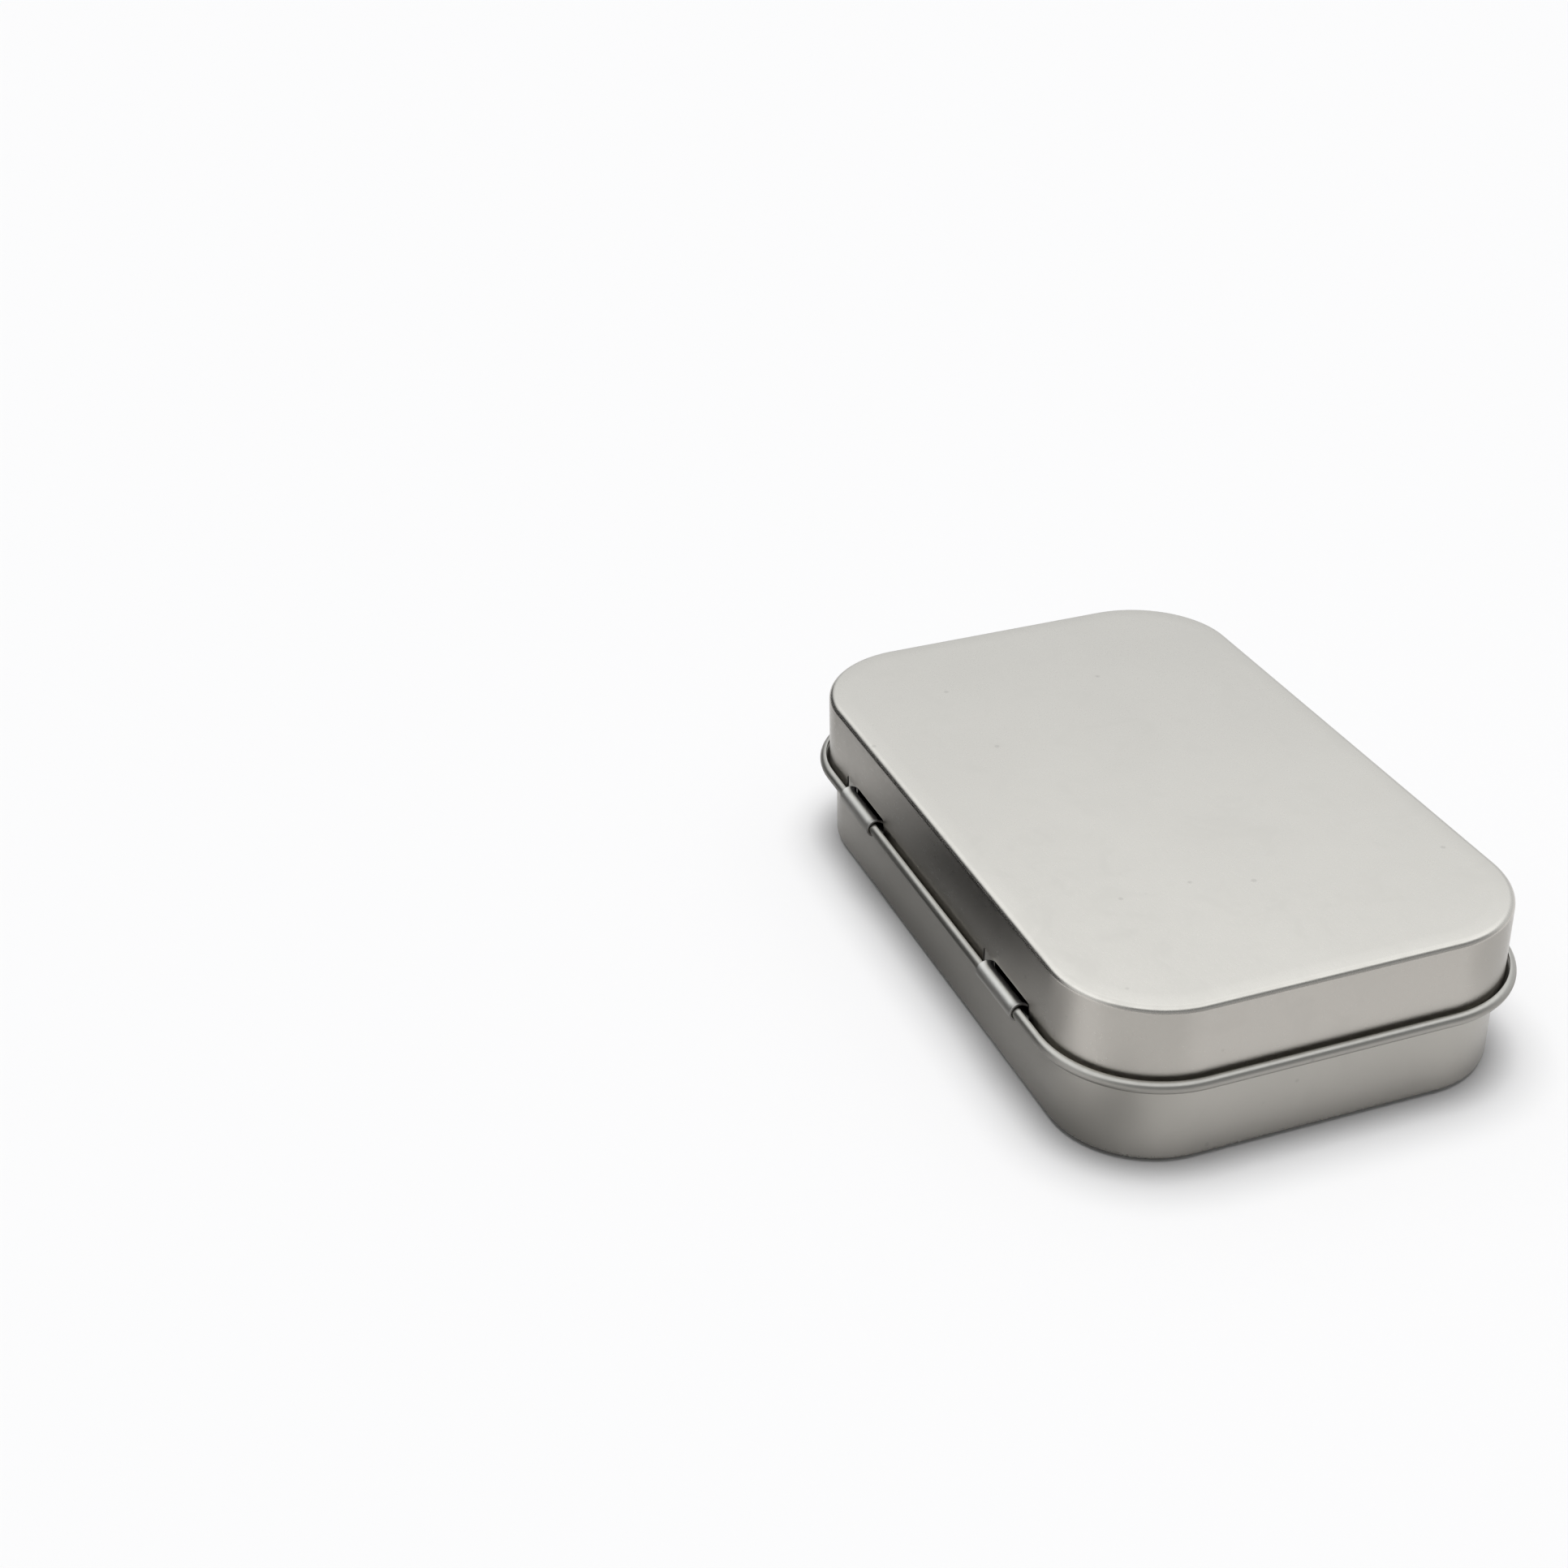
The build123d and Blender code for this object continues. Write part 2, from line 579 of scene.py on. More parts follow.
def finish_edges(bm, joint_planes):
    """Marks the cut edges for a small round, except where two pieces of one pressing meet."""
    weight = bm.edges.layers.float.new("bevel_weight_edge")
    for edge in bm.edges:
        if len(edge.link_faces) != 2 or edge.calc_face_angle() < SHARP_EDGE:
            continue
        at_joint = any(
            all(abs((vert.co - point).dot(normal)) < SAME_SPLIT for vert in edge.verts)
            for point, normal in joint_planes
        )
        edge.smooth = False
        if not at_joint:
            edge[weight] = 1.0


def put_in_scene(name, bm, materials):
    """Turns the mesh into an object with its materials."""
    mesh = bpy.data.meshes.new(name)
    bm.to_mesh(mesh)
    bm.free()
    made = bpy.data.objects.new(name, mesh)
    bpy.context.scene.collection.objects.link(made)
    for material in materials:
        mesh.materials.append(material)
    return made


def make_piece(name, bm, body, nodes, materials, cut_edge):
    """Turns the mesh into a piece that stands for its CAD nodes and rides on their body."""
    for face in bm.faces:
        face.smooth = True
    piece = put_in_scene(name, bm, materials)
    rounding = piece.modifiers.new("cut edges", "BEVEL")
    rounding.limit_method = "WEIGHT"
    rounding.width = cut_edge
    rounding.segments = CUT_EDGE_STEPS
    rounding.harden_normals = True
    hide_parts(*nodes)
    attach(piece, body)
    return piece


def cut_rows(bm, faces, planes):
    """Cuts some faces along planes and returns all the faces that they became."""
    geom = set(faces)
    for face in faces:
        geom.update(face.edges)
        geom.update(face.verts)
    for point, normal in planes:
        cut = bmesh.ops.bisect_plane(
            bm, geom=list(geom), dist=SAME_CUT, plane_co=point, plane_no=normal
        )
        geom = set(cut["geom"])
    return pick(geom, bmesh.types.BMFace)


def back_wall(bm, low, high):
    """The flat outer face of the back, between the corners."""
    return [
        face
        for face in bm.faces
        if face.normal.y > STRAIGHT_ON and low < face.calc_center_median().z < high
    ]


def tab_places():
    """The middle and the width of each hinge tab."""
    places = []
    for node in TAB_NODES:
        low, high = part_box(node)
        places.append(((low.x + high.x) / 2, high.x - low.x))
    return places


class TIN_OT_lid_cover(bpy.types.Operator):
    """Makes the lid's panel and skirt, with a hinge slot over each tab"""

    bl_idname = "tin.lid_cover"
    bl_label = "Lid cover"

    def execute(self, context):
        sizes = context.scene.tin_sizes
        radius = sizes.lid_edge_radius
        bm = bmesh.new()
        plan = Plan(COVER_LOW, COVER_HIGH, sizes.corner_radius)
        pen = Pen(bm, plan.start(0, COVER_LOW.z))
        pen.line(plan.start(0, COVER_HIGH.z - radius))
        pen.arc(plan.start(-radius, COVER_HIGH.z - radius), Vector((0, -1, 0)), pi / 2, sizes.edge_steps)
        pen.line(plan.start(-sizes.panel_margin, COVER_HIGH.z))
        carry_round(bm, plan, sizes.corner_steps)
        close_panel(bm, COVER_HIGH.z)
        face_out(bm, lambda centre: UP)
        self.cut_slots(bm, sizes)
        thicken(bm, sizes.sheet)
        finish_edges(bm, [(COVER_LOW, UP)])
        # The lid's brightened band lies on the rounded rim edge: rubbed wear there, and a painted
        # highlight as well
        make_piece(
            "lid_cover_pressing", bm, "lid", ["lid_cover"],
            [tinplate("lid", COVER_HIGH.z - radius / 2), tinplate("cut")], sizes.cut_edge,
        )
        return {"FINISHED"}

    def cut_slots(self, bm, sizes):
        """Takes the slots out of the skirt and rounds their upper corners."""
        top = HINGE.z + sizes.slot_rise
        wall = back_wall(bm, COVER_LOW.z, COVER_HIGH.z)
        half = sizes.slot_length / 2
        ends = [place + side * half for place, _ in tab_places() for side in (-1, 1)]
        planes = [(Vector((end, 0, 0)), ALONG_HINGE) for end in ends]
        planes.append((Vector((0, 0, top)), UP))
        faces = cut_rows(bm, wall, planes)
        in_slot = []
        for face in faces:
            centre = face.calc_center_median()
            beside = any(abs(centre.x - place) < half for place, _ in tab_places())
            if centre.z < top and beside:
                in_slot.append(face)
        keep = [face for face in faces if face not in in_slot]
        bmesh.ops.delete(bm, geom=in_slot, context="FACES")
        bmesh.ops.dissolve_faces(bm, faces=keep, use_verts=False)
        straight = [
            vert for vert in bm.verts
            if len(vert.link_edges) == 2 and vert.calc_edge_angle(pi) < NEARLY_STRAIGHT
        ]
        bmesh.ops.dissolve_verts(bm, verts=straight)
        corners = [
            vert for vert in bm.verts
            if vert.is_boundary and abs(vert.co.z - top) < SAME_PLACE
        ]
        bmesh.ops.bevel(
            bm, geom=corners, offset=sizes.slot_corner_radius, offset_type="OFFSET",
            segments=SLOT_CORNER_STEPS, profile=0.5, affect="VERTICES", material=-1,
        )


class TIN_OT_lid_bead(bpy.types.Operator):
    """Makes the curl along the lid's lower edge, which is the hinge pin at the back"""

    bl_idname = "tin.lid_bead"
    bl_label = "Lid bead"

    def execute(self, context):
        sizes = context.scene.tin_sizes
        radius = (BEAD_HIGH.z - BEAD_LOW.z) / 2
        offset = radius - sizes.sheet
        turn = pi + acos((sizes.curl_mouth - offset) / radius)
        bm = bmesh.new()
        plan = Plan(COVER_LOW, COVER_HIGH, sizes.corner_radius)
        pen = Pen(bm, plan.start(-sizes.sheet, HINGE.z))
        pen.arc(plan.start(offset, HINGE.z), Vector((0, -1, 0)), turn, 3 * sizes.edge_steps)
        carry_round(bm, plan, sizes.corner_steps)
        face_out(bm, off_hinge)
        thicken(bm, sizes.sheet)
        finish_edges(bm, [])
        # The bead's brightened band lies along its top: rubbed wear there, and a painted highlight as
        # well
        make_piece(
            "lid_bead_curl", bm, "lid", ["lid_bead"],
            [tinplate("bead", BEAD_HIGH.z), tinplate("cut")], sizes.cut_edge,
        )
        return {"FINISHED"}


class TIN_OT_base_tray(bpy.types.Operator):
    """Makes the base's floor and wall, with the windows that the tabs came from"""

    bl_idname = "tin.base_tray"
    bl_label = "Base tray"

    def execute(self, context):
        sizes = context.scene.tin_sizes
        radius = sizes.base_edge_radius
        bm = bmesh.new()
        plan = base_plan(sizes)
        pen = Pen(bm, plan.start(0, TRAY_HIGH.z))
        pen.line(plan.start(0, TRAY_LOW.z + radius))
        pen.arc(plan.start(-radius, TRAY_LOW.z + radius), Vector((0, 1, 0)), pi / 2, sizes.edge_steps)
        pen.line(plan.start(-sizes.panel_margin, TRAY_LOW.z))
        carry_round(bm, plan, sizes.corner_steps)
        close_panel(bm, TRAY_LOW.z)
        face_out(bm, lambda centre: -UP)
        self.cut_windows(bm, sizes)
        thicken(bm, sizes.sheet)
        finish_edges(bm, [(TRAY_HIGH, UP), (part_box(TAB_NODES[0])[0], UP)])
        make_piece(
            "base_tray_pressing", bm, "base", ["base_tray"],
            [tinplate("base", radius / 2), tinplate("cut")], sizes.cut_edge,
        )
        return {"FINISHED"}

    def cut_windows(self, bm, sizes):
        """Takes the windows out of the back wall, above the roots of the tabs."""
        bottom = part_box(TAB_NODES[0])[0].z
        top = TRAY_HIGH.z - sizes.window_land
        wall = back_wall(bm, TRAY_LOW.z, TRAY_HIGH.z)
        planes = [(Vector((0, 0, bottom)), UP), (Vector((0, 0, top)), UP)]
        for place, width in tab_places():
            half = width / 2 + sizes.window_kerf
            planes += [(Vector((place + side * half, 0, 0)), ALONG_HINGE) for side in (-1, 1)]
        faces = cut_rows(bm, wall, planes)
        in_window = []
        for face in faces:
            centre = face.calc_center_median()
            beside = any(
                abs(centre.x - place) < width / 2 + sizes.window_kerf for place, width in tab_places()
            )
            if bottom < centre.z < top and beside:
                in_window.append(face)
        bmesh.ops.delete(bm, geom=in_window, context="FACES")


def base_plan(sizes):
    """The base's outline, inside the lid's by the same amount all round."""
    inset = COVER_HIGH.x - TRAY_HIGH.x
    return Plan(TRAY_LOW, TRAY_HIGH, sizes.corner_radius - inset)


class TIN_OT_base_rim_hem(bpy.types.Operator):
    """Makes the base's rim, folded inward"""

    bl_idname = "tin.base_rim_hem"
    bl_label = "Base rim"

    def execute(self, context):
        sizes = context.scene.tin_sizes
        radius = sizes.hem_radius
        bm = bmesh.new()
        plan = base_plan(sizes)
        pen = Pen(bm, plan.start(0, TRAY_HIGH.z))
        pen.arc(plan.start(-radius, TRAY_HIGH.z), Vector((0, -1, 0)), pi, 2 * sizes.edge_steps)
        pen.line(plan.start(-2 * radius, HEM_LOW.z))
        carry_round(bm, plan, sizes.corner_steps)
        middle = TRAY_HIGH.x - radius
        face_out(bm, lambda centre: Vector((centre.x * (abs(centre.x) - middle), 0, 0)))
        thicken(bm, sizes.sheet)
        finish_edges(bm, [(TRAY_HIGH, UP)])
        make_piece(
            "base_rim_fold", bm, "base", ["base_rim_hem"],
            [tinplate("base", radius / 2), tinplate("cut")], sizes.cut_edge,
        )
        return {"FINISHED"}


class TIN_OT_hinge_tabs(bpy.types.Operator):
    """Makes the tabs that are bent out of the base and rolled round the bead"""

    bl_idname = "tin.hinge_tabs"
    bl_label = "Hinge tabs"

    def execute(self, context):
        for node in TAB_NODES:
            self.make_tab(node, context.scene.tin_sizes)
        return {"FINISHED"}

    def make_tab(self, node, sizes):
        """One tab's outer skin: its line carried along the hinge, and its ends stood open."""
        low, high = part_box(node)
        outer = high.z - HINGE.z
        bend = sizes.tab_bend_radius
        root = Vector((low.x, TRAY_HIGH.y, low.z))
        bend_y = root.y + bend
        bm = bmesh.new()
        pen = Pen(bm, root)
        pen.arc(Vector((low.x, bend_y, low.z)), Vector((-1, 0, 0)), pi / 2, sizes.edge_steps)
        pen.line(Vector((low.x, HINGE.y, HINGE.z - outer)))
        wrap = self.wrap_angle(low, sizes, outer)
        pen.arc(Vector((low.x, HINGE.y, HINGE.z)), Vector((1, 0, 0)), wrap, 3 * sizes.edge_steps)
        line = list(bm.edges)
        step_run = sizes.tab_flare_run / sizes.flare_steps
        middle_run = high.x - low.x - 2 * sizes.tab_flare_run
        runs = [step_run] * sizes.flare_steps + [middle_run] + [step_run] * sizes.flare_steps
        for run in runs:
            step = bmesh.ops.extrude_edge_only(bm, edges=line)["geom"]
            bmesh.ops.translate(bm, verts=pick(step, bmesh.types.BMVert), vec=ALONG_HINGE * run)
            line = pick(step, bmesh.types.BMEdge)
        for vert in bm.verts:
            from_end = min(vert.co.x - low.x, high.x - vert.co.x)
            flare = max(0.0, 1 - from_end / sizes.tab_flare_run) ** 2
            spoke = Vector((0, vert.co.y - HINGE.y, vert.co.z - HINGE.z))
            past_outside = max(0.0, atan2(spoke.z, spoke.y) / pi)
            vert.co += spoke.normalized() * (sizes.tab_flare * flare * past_outside**2)
        self.finish_tab(node, low, bm, sizes)

    def finish_tab(self, node, low, bm, sizes):
        """Thickens the tab and puts it in the scene."""
        face_out(bm, off_hinge)
        thicken(bm, sizes.sheet)
        finish_edges(bm, [(low, UP)])
        make_piece(
            node + "_roll", bm, "base", [node],
            [tinplate("tab"), tinplate("cut")], sizes.cut_edge,
        )

    def wrap_angle(self, low, sizes, outer):
        """How far the tab goes round, from the metal that its window gave."""
        blank = TRAY_HIGH.z - sizes.window_land - low.z - sizes.window_kerf
        bend = (sizes.tab_bend_radius + sizes.sheet / 2) * pi / 2
        run = HINGE.y - TRAY_HIGH.y - sizes.tab_bend_radius
        return (blank - bend - run) / (outer - sizes.sheet / 2)


class Tree:
    """Places and joins the nodes of one node tree."""

    def __init__(self, tree):
        self.tree = tree

    def add(self, kind, values=None, **settings):
        node = self.tree.nodes.new(kind)
        for name, value in settings.items():
            setattr(node, name, value)
        for name, value in (values or {}).items():
            self.feed(node.inputs[name], value)
        return node

    def feed(self, socket, value):
        if isinstance(value, bpy.types.NodeSocket):
            self.tree.links.new(value, socket)
        else:
            socket.default_value = value

    def math(self, operation, *values):
        node = self.add("ShaderNodeMath", dict(enumerate(values)), operation=operation)
        return node.outputs[0]

    def stretch(self, vector, factors):
        node = self.add("ShaderNodeVectorMath", {0: vector, 1: factors}, operation="MULTIPLY")
        return node.outputs[0]

    def noise(self, vector, scale, detail, roughness=0.5, distortion=0.0):
        values = {
            "Vector": vector,
            "Scale": scale,
            "Detail": detail,
            "Roughness": roughness,
            "Distortion": distortion,
        }
        return self.add("ShaderNodeTexNoise", values).outputs["Fac"]

    def fade(self, value, start, end, low=0.0, high=1.0):
        values = {"Value": value, "From Min": start, "From Max": end, "To Min": low, "To Max": high}
        return self.add("ShaderNodeMapRange", values, interpolation_type="SMOOTHSTEP").outputs["Result"]

    def mix(self, factor, low, high):
        """A value that goes from low to high with the factor."""
        values = {MIX_FACTOR: factor, VALUE_LOW: low, VALUE_HIGH: high}
        return self.add("ShaderNodeMix", values).outputs[VALUE_OUT]

    def mix_colours(self, factor, low, high):
        """A colour that goes from low to high with the factor."""
        values = {MIX_FACTOR: factor, COLOUR_LOW: low, COLOUR_HIGH: high}
        return self.add("ShaderNodeMix", values, data_type="RGBA").outputs[COLOUR_OUT]

    def parts(self, vector):
        """The X, Y and Z of a vector."""
        return self.add("ShaderNodeSeparateXYZ", {"Vector": vector}).outputs

    def shade(self, factor, amount, colour):
        """Multiplies the colour by the amount where the factor is 1, and by less of it below."""
        strength = self.fade(factor, start=0.0, end=1.0, low=1.0, high=amount)
        node = self.add("ShaderNodeVectorMath", {0: colour, "Scale": strength}, operation="SCALE")
        return node.outputs[0]


def effect(name, inputs, outputs, draw):
    """A node group with named sockets, built once."""
    group = bpy.data.node_groups.get(name)
    if group is None:
        group = bpy.data.node_groups.new(name, "ShaderNodeTree")
        for title, kind in inputs:
            group.interface.new_socket(title, in_out="INPUT", socket_type=kind)
        for title in outputs:
            group.interface.new_socket(title, in_out="OUTPUT", socket_type="NodeSocketFloat")
        tree = Tree(group)
        inlet = tree.add("NodeGroupInput")
        outlet = tree.add("NodeGroupOutput")
        draw(tree, inlet.outputs, outlet.inputs)
    return group


def draw_rolled_grain(tree, inlet, outlet):
    """Short fine streaks along the rolling direction, over a finer even grain."""
    along = tree.stretch(inlet["Vector"], ROLLING_STRETCH)
    streaks = tree.noise(along, inlet["Scale"], detail=2.0, roughness=0.6)
    grain = tree.noise(inlet["Vector"], inlet["Scale"], detail=3.0, roughness=0.7)
    streaks = tree.math("MULTIPLY", streaks, STREAK_SHARE)
    grain = tree.math("MULTIPLY", grain, 1 - STREAK_SHARE)
    tree.feed(outlet["Height"], tree.math("ADD", streaks, grain))


def draw_handling(tree, inlet, outlet):
    """Broad unevenness of the dull coating, and soft smudges left by hands."""
    broad = tree.noise(
        inlet["Vector"], inlet["Scale"], detail=2.0, roughness=0.55, distortion=0.4
    )
    tree.feed(outlet["Mottle"], tree.fade(broad, start=0.3, end=0.7))
    finer = tree.math("MULTIPLY", inlet["Scale"], SMUDGE_FINENESS)
    hands = tree.noise(inlet["Vector"], finer, detail=3.0, roughness=0.55, distortion=1.6)
    tree.feed(outlet["Smudge"], tree.fade(hands, start=0.5, end=0.72))


def draw_flecks(tree, inlet, outlet):
    """Tiny pits and specks, a few on each face."""
    values = {"Vector": inlet["Vector"], "Scale": inlet["Scale"]}
    cells = tree.add("ShaderNodeTexVoronoi", values, feature="F1")
    reach = tree.math("MULTIPLY", inlet["Size"], inlet["Scale"])
    share = tree.math("DIVIDE", cells.outputs["Distance"], reach)
    tree.feed(outlet["Mask"], tree.fade(share, start=0.35, end=1.0, low=1.0, high=0.0))


def draw_rub_and_highlight(tree, inlet, outlet):
    """A band at one height, brightened: rubbed wear from the tin's neighbours, and on the lid's rim and
    the bead's top a painted highlight as well.
    """
    height = tree.parts(inlet["Vector"])["Z"]
    off = tree.math("ABSOLUTE", tree.math("SUBTRACT", height, inlet["Height"]))
    share = tree.math("DIVIDE", off, inlet["Reach"])
    band = tree.fade(share, start=0.4, end=1.0, low=1.0, high=0.0)
    patches = tree.noise(inlet["Vector"], RUB_AND_HIGHLIGHT_PATCHES, detail=3.0, roughness=0.6)
    uneven = tree.fade(patches, start=0.3, end=0.65, low=0.45, high=1.0)
    tree.feed(outlet["Mask"], tree.math("MULTIPLY", band, uneven))


def draw_drawing_marks(tree, inlet, outlet):
    """Faint upright streaks that the drawing die leaves on the walls."""
    upright = tree.stretch(inlet["Vector"], DRAWING_STRETCH)
    streaks = tree.noise(upright, inlet["Scale"], detail=3.0, roughness=0.6)
    level = tree.math("ABSOLUTE", tree.parts(inlet["Normal"])["Z"])
    wall = tree.fade(level, start=0.3, end=0.8, low=1.0, high=0.0)
    tree.feed(outlet["Height"], tree.math("MULTIPLY", streaks, wall))


# The effects: what each takes, what it puts out and how it is drawn
VECTOR = ("Vector", "NodeSocketVector")
NORMAL = ("Normal", "NodeSocketVector")
SCALE = ("Scale", "NodeSocketFloat")
SIZE = ("Size", "NodeSocketFloat")
HEIGHT = ("Height", "NodeSocketFloat")
REACH = ("Reach", "NodeSocketFloat")
EFFECTS = {
    "rolled grain": ([VECTOR, SCALE], ["Height"], draw_rolled_grain),
    "handling": ([VECTOR, SCALE], ["Mottle", "Smudge"], draw_handling),
    "flecks": ([VECTOR, SCALE, SIZE], ["Mask"], draw_flecks),
    "rub": ([VECTOR, HEIGHT, REACH], ["Mask"], draw_rub_and_highlight),
    "drawing marks": ([VECTOR, NORMAL, SCALE], ["Height"], draw_drawing_marks),
}


def place_effect(tree, name, values):
    """Puts an effect in a material with the material's own values."""
    return tree.add("ShaderNodeGroup", values, node_tree=effect(name, *EFFECTS[name])).outputs


def tinplate(part, rub_and_highlight_height=0.0):
    """The finish of one part of the tin, made once: satin tinplate, with its marks."""
    name = part + " tinplate"
    material = bpy.data.materials.get(name)
    if material:
        return material
    finish = bpy.context.scene.tin_finish
    # The base's and the bead's colours are darker copies of the lid's tinplate: painted shade
    colour = tuple(getattr(finish, part + "_colour"))
    roughness = getattr(finish, part + "_roughness")
    material = bpy.data.materials.new(name)
    material.use_nodes = True
    tree = Tree(material.node_tree)
    coordinates = tree.add("ShaderNodeTexCoord").outputs
    place = coordinates["Object"]

    grain = place_effect(tree, "rolled grain", {"Vector": place, "Scale": finish.grain_scale})
    hands = place_effect(tree, "handling", {"Vector": place, "Scale": finish.mottle_scale})
    flecks = place_effect(
        tree, "flecks", {"Vector": place, "Scale": finish.fleck_scale, "Size": finish.fleck_size}
    )
    rub = place_effect(
        tree, "rub", {"Vector": place, "Height": rub_and_highlight_height, "Reach": finish.rub_reach}
    )
    marks = place_effect(
        tree, "drawing marks",
        {"Vector": place, "Normal": coordinates["Normal"], "Scale": finish.drawing_scale},
    )

    paint = tree.shade(hands["Mottle"], finish.mottle_shade, colour)
    paint = tree.shade(hands["Smudge"], finish.smudge_shade, paint)
    paint = tree.shade(flecks["Mask"], finish.fleck_shade, paint)
    # The band brightens the colour: rubbed wear, and a painted highlight on the lid's rim and the bead's
    # top
    paint = tree.shade(rub["Mask"], finish.rub_shade, paint)
    low, high = roughness - GLOSS_SPREAD, roughness + GLOSS_SPREAD
    gloss = tree.fade(grain["Height"], start=0.3, end=0.7, low=low, high=high)
    gloss = tree.math("ADD", gloss, tree.math("MULTIPLY", hands["Smudge"], finish.smudge_dulling))
    gloss = tree.math("SUBTRACT", gloss, tree.math("MULTIPLY", rub["Mask"], finish.rub_polish))
    streaks = tree.math("MULTIPLY", marks["Height"], finish.drawing_depth)
    height = tree.math("ADD", grain["Height"], streaks)
    height = tree.math("SUBTRACT", height, tree.math("MULTIPLY", flecks["Mask"], FLECK_DEPTH))
    values = {"Height": height, "Distance": finish.grain_depth, "Strength": 1.0}
    bump = tree.add("ShaderNodeBump", values)

    shader = material.node_tree.nodes["Principled BSDF"]
    shader.inputs["Metallic"].default_value = 1.0
    tree.feed(shader.inputs["Base Color"], paint)
    tree.feed(shader.inputs["Roughness"], gloss)
    tree.feed(shader.inputs["Normal"], bump.outputs["Normal"])
    return material


# Cards on the table that only the metal shows: from and to along X, from and to along Y, how softly they
# end
# along X and along Y, all in millimetres, and their tone. The tones are painted shade in the
# reflections:
# floor in the tin's own shadow and in that of a neighbouring tin that is left out, that dark tin itself,
# and the dark side by the camera.
FLAT_CARDS = (
    ("near card", (-1111, -105), (-500, 500), (12, 12), 0.40),
    ("pale card", (-104, -42), (8, 82), (12, 12), 0.77),
    ("corner card", (-62, -21), (19, 46), (14, 13), 0.42),
    ("hinge card", (-38, 72), (25, 75), (18, 12), 0.36),
    ("far hinge card", (40, 116), (25, 75), (16, 12), 0.63),
    ("back card", (-15, 900), (46, 600), (50, 16), 0.02),
    ("dark card", (-17, 48), (31, 66), (26, 12), 0.01),
    ("foot card", (-24, 40), (24, 42), (30, 7), 0.4),
    ("end card", (-76, -24), (-81, -34), (12, 12), 0.66),
)


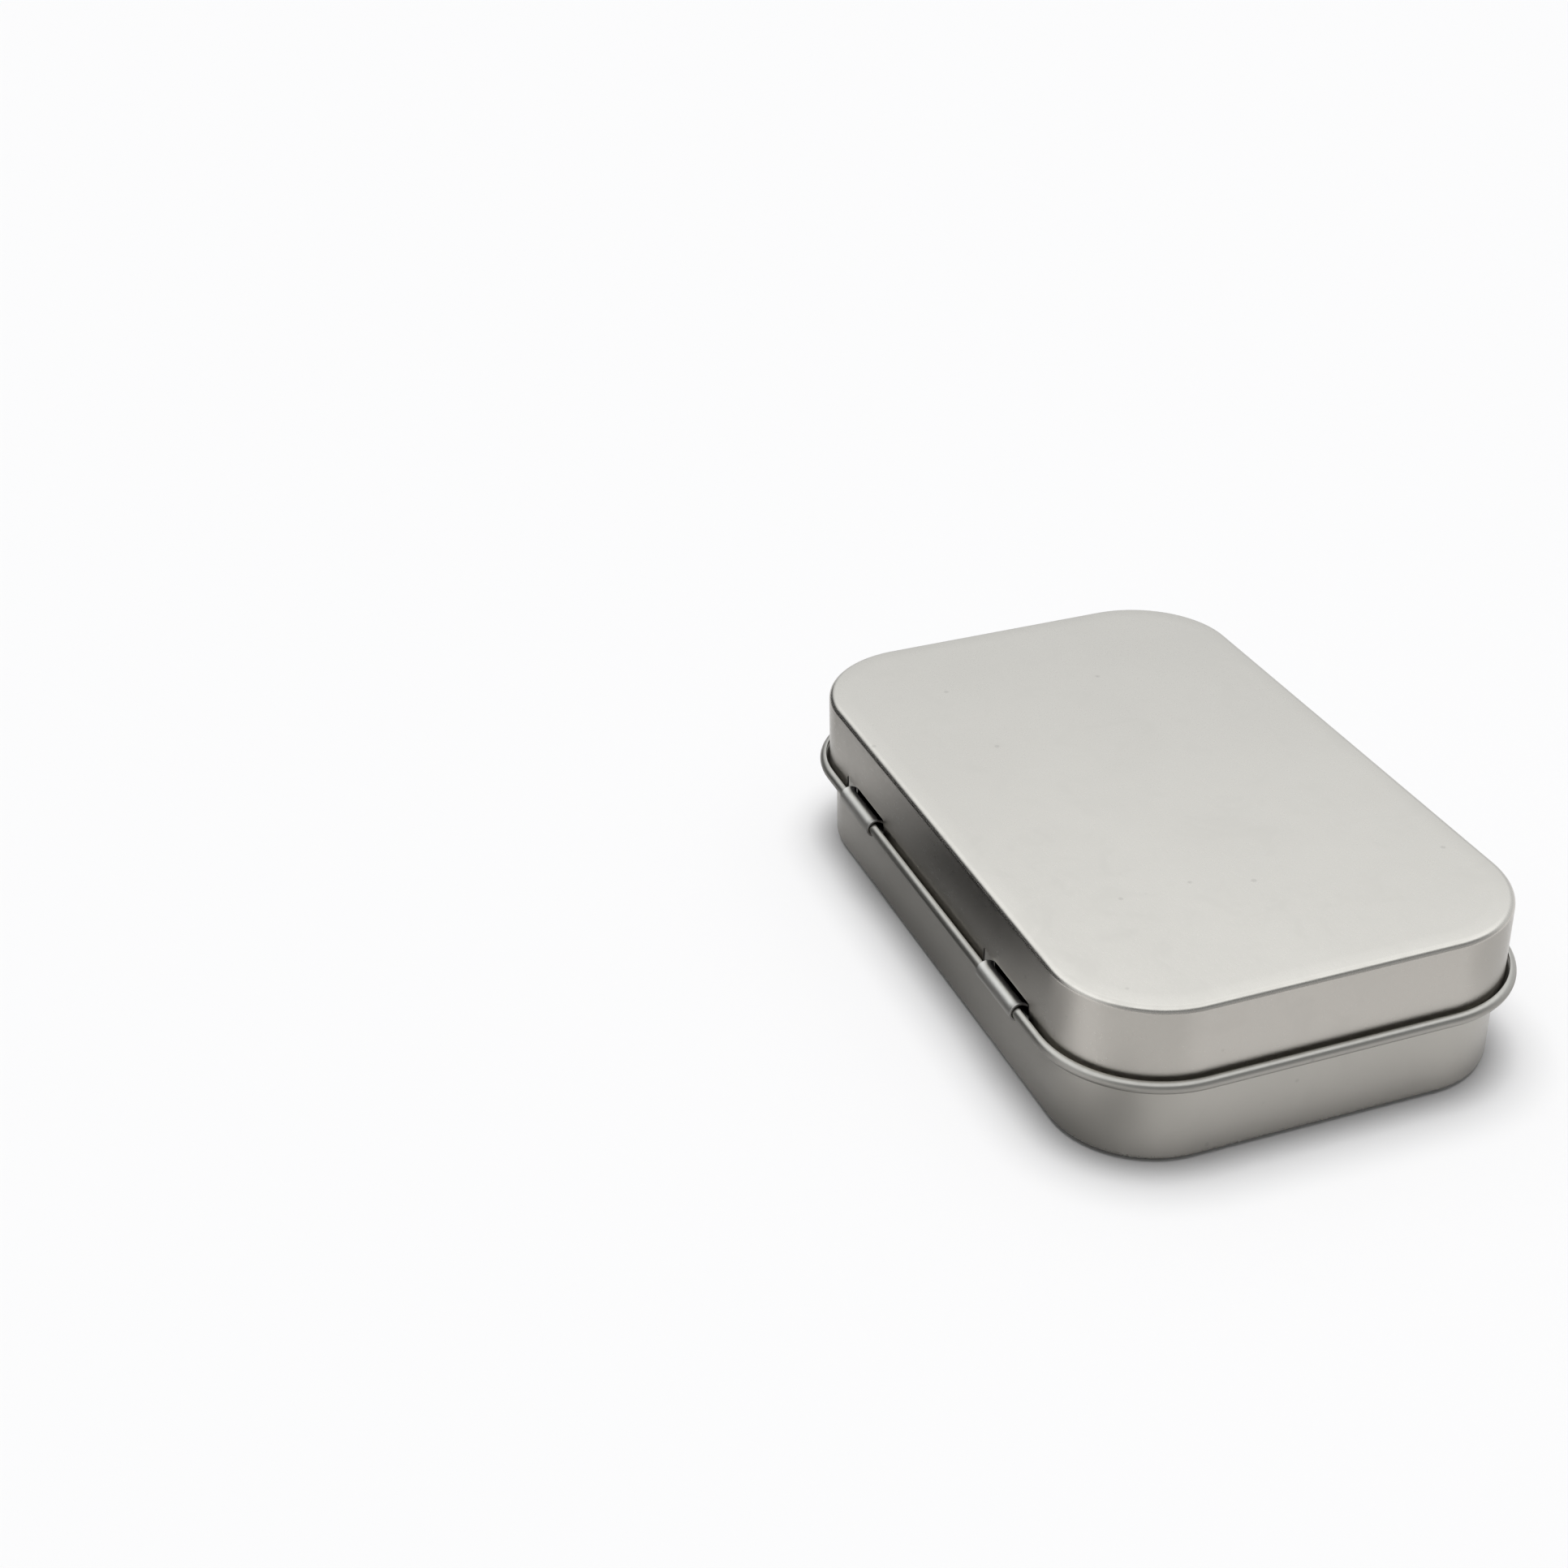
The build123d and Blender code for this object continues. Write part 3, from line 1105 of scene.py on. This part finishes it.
class TIN_OT_stage(bpy.types.Operator):
    """Makes the floor, the overhead light, the cards, the room light and the camera"""

    bl_idname = "tin.stage"
    bl_label = "Stage"

    def execute(self, context):
        stage = context.scene.tin_stage
        self.make_floor(stage)
        self.make_overhead(stage)
        self.make_cards(stage)
        self.make_room(context, stage)
        self.make_camera(context, stage)
        context.scene.view_settings.view_transform = "Standard"
        return {"FINISHED"}

    def make_floor(self, stage):
        bm = bmesh.new()
        bmesh.ops.create_grid(bm, x_segments=1, y_segments=1, size=stage.floor_size / 2)
        bmesh.ops.translate(bm, verts=bm.verts, vec=-UP * stage.floor_drop)
        material, shader = matt_material("pale table", stage.floor_colour, FLOOR_ROUGHNESS)
        shader.inputs["Emission Color"].default_value = WHITE
        tree = Tree(material.node_tree)
        lift = tree.math("MULTIPLY", seen_rays(tree), stage.floor_lift)
        tree.feed(shader.inputs["Emission Strength"], lift)
        floor = put_in_scene("floor", bm, [material])

    def make_overhead(self, stage):
        """An even light from above, for everything but the metal, which has the tent."""
        lamp = bpy.data.lights.new("overhead light", "SUN")
        lamp.energy = stage.overhead_strength
        lamp.angle = stage.overhead_angle
        overhead = bpy.data.objects.new("overhead light", lamp)
        overhead.location = UP
        overhead.rotation_euler = (0, stage.overhead_lean, 0)
        overhead.visible_glossy = False
        bpy.context.scene.collection.objects.link(overhead)

    def make_cards(self, stage):
        """Cards whose tones paint shade into the reflections; no other ray meets them."""
        for index, (name, across, deep, softness, tone) in enumerate(FLAT_CARDS):
            left, right = across[0] * MM, across[1] * MM
            front, back = deep[0] * MM, deep[1] * MM
            soft_x, soft_y = softness[0] * MM, softness[1] * MM
            flat = bmesh.new()
            bmesh.ops.create_grid(flat, x_segments=1, y_segments=1, size=0.5)
            bmesh.ops.scale(flat, verts=flat.verts, vec=(right - left, back - front, 1))
            height = stage.card_step * (index + 1) - stage.floor_drop
            middle = ((left + right) / 2, (front + back) / 2, height)
            bmesh.ops.translate(flat, verts=flat.verts, vec=middle)
            material, shader = matt_material(name, (tone, tone, tone), 1.0)
            self.make_card(name, flat, material)
            tree = Tree(material.node_tree)
            parts = tree.parts(tree.add("ShaderNodeTexCoord").outputs["Object"])
            in_x = tree.math(
                "MULTIPLY",
                tree.fade(parts["X"], left, left + soft_x),
                tree.fade(parts["X"], right - soft_x, right, 1.0, 0.0),
            )
            in_y = tree.math(
                "MULTIPLY",
                tree.fade(parts["Y"], front, front + soft_y),
                tree.fade(parts["Y"], back - soft_y, back, 1.0, 0.0),
            )
            tree.feed(shader.inputs["Alpha"], tree.math("MULTIPLY", in_x, in_y))

    def make_card(self, name, bm, material):
        """One card, which only rays that leave the metal meet."""
        card = put_in_scene(name, bm, [material])
        card.visible_camera = False
        card.visible_diffuse = False
        card.visible_transmission = False
        card.visible_shadow = False

    def make_room(self, context, stage):
        """A white tent for the metal, dark on the camera's side, and plain soft light for the rest."""
        world = bpy.data.worlds.new("room")
        context.scene.world = world
        world.use_nodes = True
        tree = Tree(world.node_tree)
        background = world.node_tree.nodes["Background"]
        way = tree.add("ShaderNodeTexCoord").outputs["Generated"]
        parts = tree.parts(way)
        height = parts["Z"]
        tent = tree.fade(height, *MIDDLE_BAND, stage.sky_low, stage.sky_middle)
        tent = tree.mix(tree.fade(height, *HIGH_BAND), tent, stage.sky_high)
        tent = tree.mix(tree.fade(height, *TOP_BAND), tent, stage.sky_top)
        front = tree.fade(tree.math("MULTIPLY", parts["X"], -1.0), *OPEN_TURN)
        dark = tree.math("MULTIPLY", front, tree.fade(height, *OPEN_TOP, 1.0, 0.0))
        shut = tree.fade(height, *OPEN_SHADE, stage.dark_low, stage.dark_side)
        tent = tree.mix(dark, tent, shut)
        across = tree.math("MULTIPLY", parts["X"], BEHIND_X)
        away = tree.math("MULTIPLY", parts["Y"], BEHIND_Y)
        behind = tree.fade(tree.math("ADD", across, away), *BEHIND_TURN)
        behind = tree.math("MULTIPLY", behind, tree.fade(height, *BEHIND_TOP, 1.0, 0.0))
        tent = tree.mix(behind, tent, stage.dark_back)
        soft = tree.fade(height, *ROOM_BAND, stage.room_rim, stage.room_top)
        path = tree.add("ShaderNodeLightPath").outputs
        from_metal = tree.math("SUBTRACT", path["Is Glossy Ray"], path["Diffuse Depth"])
        in_metal = tree.math("GREATER_THAN", from_metal, 0.5)
        light = tree.mix(in_metal, soft, tent)
        white = tree.math("MAXIMUM", path["Is Camera Ray"], path["Is Transmission Ray"])
        light = tree.mix(white, light, stage.backdrop)
        hue = tree.mix_colours(in_metal, WHITE, (*stage.tent_colour, 1))
        tree.feed(background.inputs["Color"], hue)
        tree.feed(background.inputs["Strength"], light)

    def make_camera(self, context, stage):
        aim = Vector(stage.camera_aim).normalized()
        right = Vector(stage.camera_right).normalized()
        up = right.cross(aim).normalized()
        lens = bpy.data.cameras.new("camera")
        lens.lens = stage.focal_length
        lens.sensor_width = SENSOR_WIDTH
        lens.clip_start = CLOSEST_SEEN
        camera = bpy.data.objects.new("camera", lens)
        turn = Matrix((right, up, -aim)).transposed()
        camera.matrix_world = Matrix.Translation(stage.camera_place) @ turn.to_4x4()
        context.scene.collection.objects.link(camera)
        context.scene.camera = camera


def matt_material(name, colour, roughness):
    """A dull material without gloss, and its shader."""
    material = bpy.data.materials.new(name)
    material.use_nodes = True
    shader = material.node_tree.nodes["Principled BSDF"]
    shader.inputs["Base Color"].default_value = (*colour, 1)
    shader.inputs["Roughness"].default_value = roughness
    shader.inputs["Specular IOR Level"].default_value = 0.0
    return material, shader


def seen_rays(tree):
    """1 for the rays that show white: what the camera, the metal and clear things see."""
    path = tree.add("ShaderNodeLightPath").outputs
    seen = tree.math("MAXIMUM", path["Is Camera Ray"], path["Is Glossy Ray"])
    return tree.math("MAXIMUM", seen, path["Is Transmission Ray"])


class TIN_PT_panel(bpy.types.Panel):
    """Lists the steps that dress the tin"""

    bl_label = "Hinged Pocket Tin"
    bl_idname = "TIN_PT_panel"
    bl_space_type = "VIEW_3D"
    bl_region_type = "UI"
    bl_category = "Tin"

    def draw(self, context):
        for operator in OPERATORS:
            self.layout.operator(operator.bl_idname)


OPERATORS = (
    TIN_OT_lid_cover,
    TIN_OT_lid_bead,
    TIN_OT_base_tray,
    TIN_OT_base_rim_hem,
    TIN_OT_hinge_tabs,
    TIN_OT_stage,
)
GROUPS = (TinSizes, TinFinish, TinStage)


def register():
    for item in GROUPS + OPERATORS + (TIN_PT_panel,):
        bpy.utils.register_class(item)
    bpy.types.Scene.tin_sizes = PointerProperty(type=TinSizes)
    bpy.types.Scene.tin_finish = PointerProperty(type=TinFinish)
    bpy.types.Scene.tin_stage = PointerProperty(type=TinStage)


def unregister():
    del bpy.types.Scene.tin_stage
    del bpy.types.Scene.tin_finish
    del bpy.types.Scene.tin_sizes
    for item in reversed(GROUPS + OPERATORS + (TIN_PT_panel,)):
        bpy.utils.unregister_class(item)


def main():
    register()
    bpy.ops.tin.lid_cover()
    bpy.ops.tin.lid_bead()
    bpy.ops.tin.base_tray()
    bpy.ops.tin.base_rim_hem()
    bpy.ops.tin.hinge_tabs()
    bpy.ops.tin.stage()


if __name__ == "__main__":
    main()
